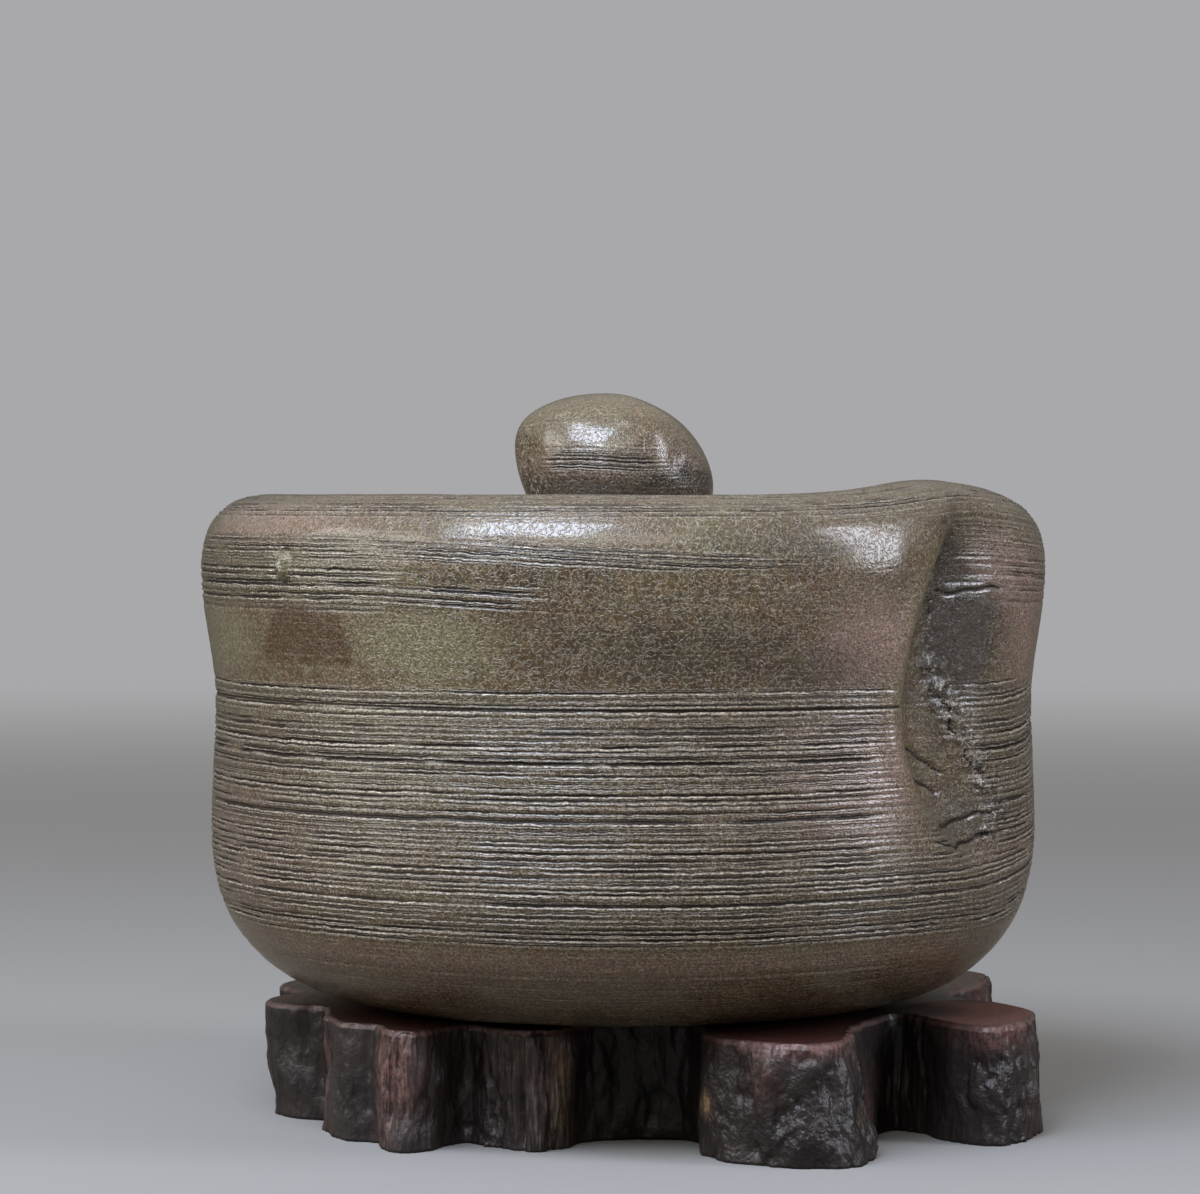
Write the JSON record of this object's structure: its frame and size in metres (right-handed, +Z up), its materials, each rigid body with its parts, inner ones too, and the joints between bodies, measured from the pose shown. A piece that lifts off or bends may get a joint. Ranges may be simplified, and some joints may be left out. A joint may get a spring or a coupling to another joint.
{
  "type": "lidded water jar on a wooden stand",
  "caption": "Low wide water jar of combed, ash-glazed stoneware with a drop-in lid and pebble knob, standing on a fluted slice of lacquered trunk.",
  "frame": {"origin": "on the ground under the jar's axis, in the stand's flat underside", "axes": "+Z up, -Y to the front, +X to the right as seen from the front, where the pressed-in fold is"},
  "size_m": [0.18, 0.18, 0.1544],
  "materials": {
    "ash_glazed_stoneware": "satin natural ash glaze over combed, wood-fired stoneware",
    "lacquered_wood": "dark lacquer over split and fluted trunk, polished top"
  },
  "bodies": {
    "stand": {"wood_stand": "lacquered_wood"},
    "jar": {"jar_body": "ash_glazed_stoneware"},
    "lid": {"lid_plate": "ash_glazed_stoneware", "lid_knob": "ash_glazed_stoneware"}
  },
  "joints": [
    {"name": "jar_lift", "type": "slide", "parent": "stand", "child": "jar", "axis": [0, 0, 1], "range_m": [0, 0.06]},
    {"name": "lid_lift", "type": "slide", "parent": "jar", "child": "lid", "axis": [0, 0, 1], "range_m": [0, 0.06]}
  ]
}
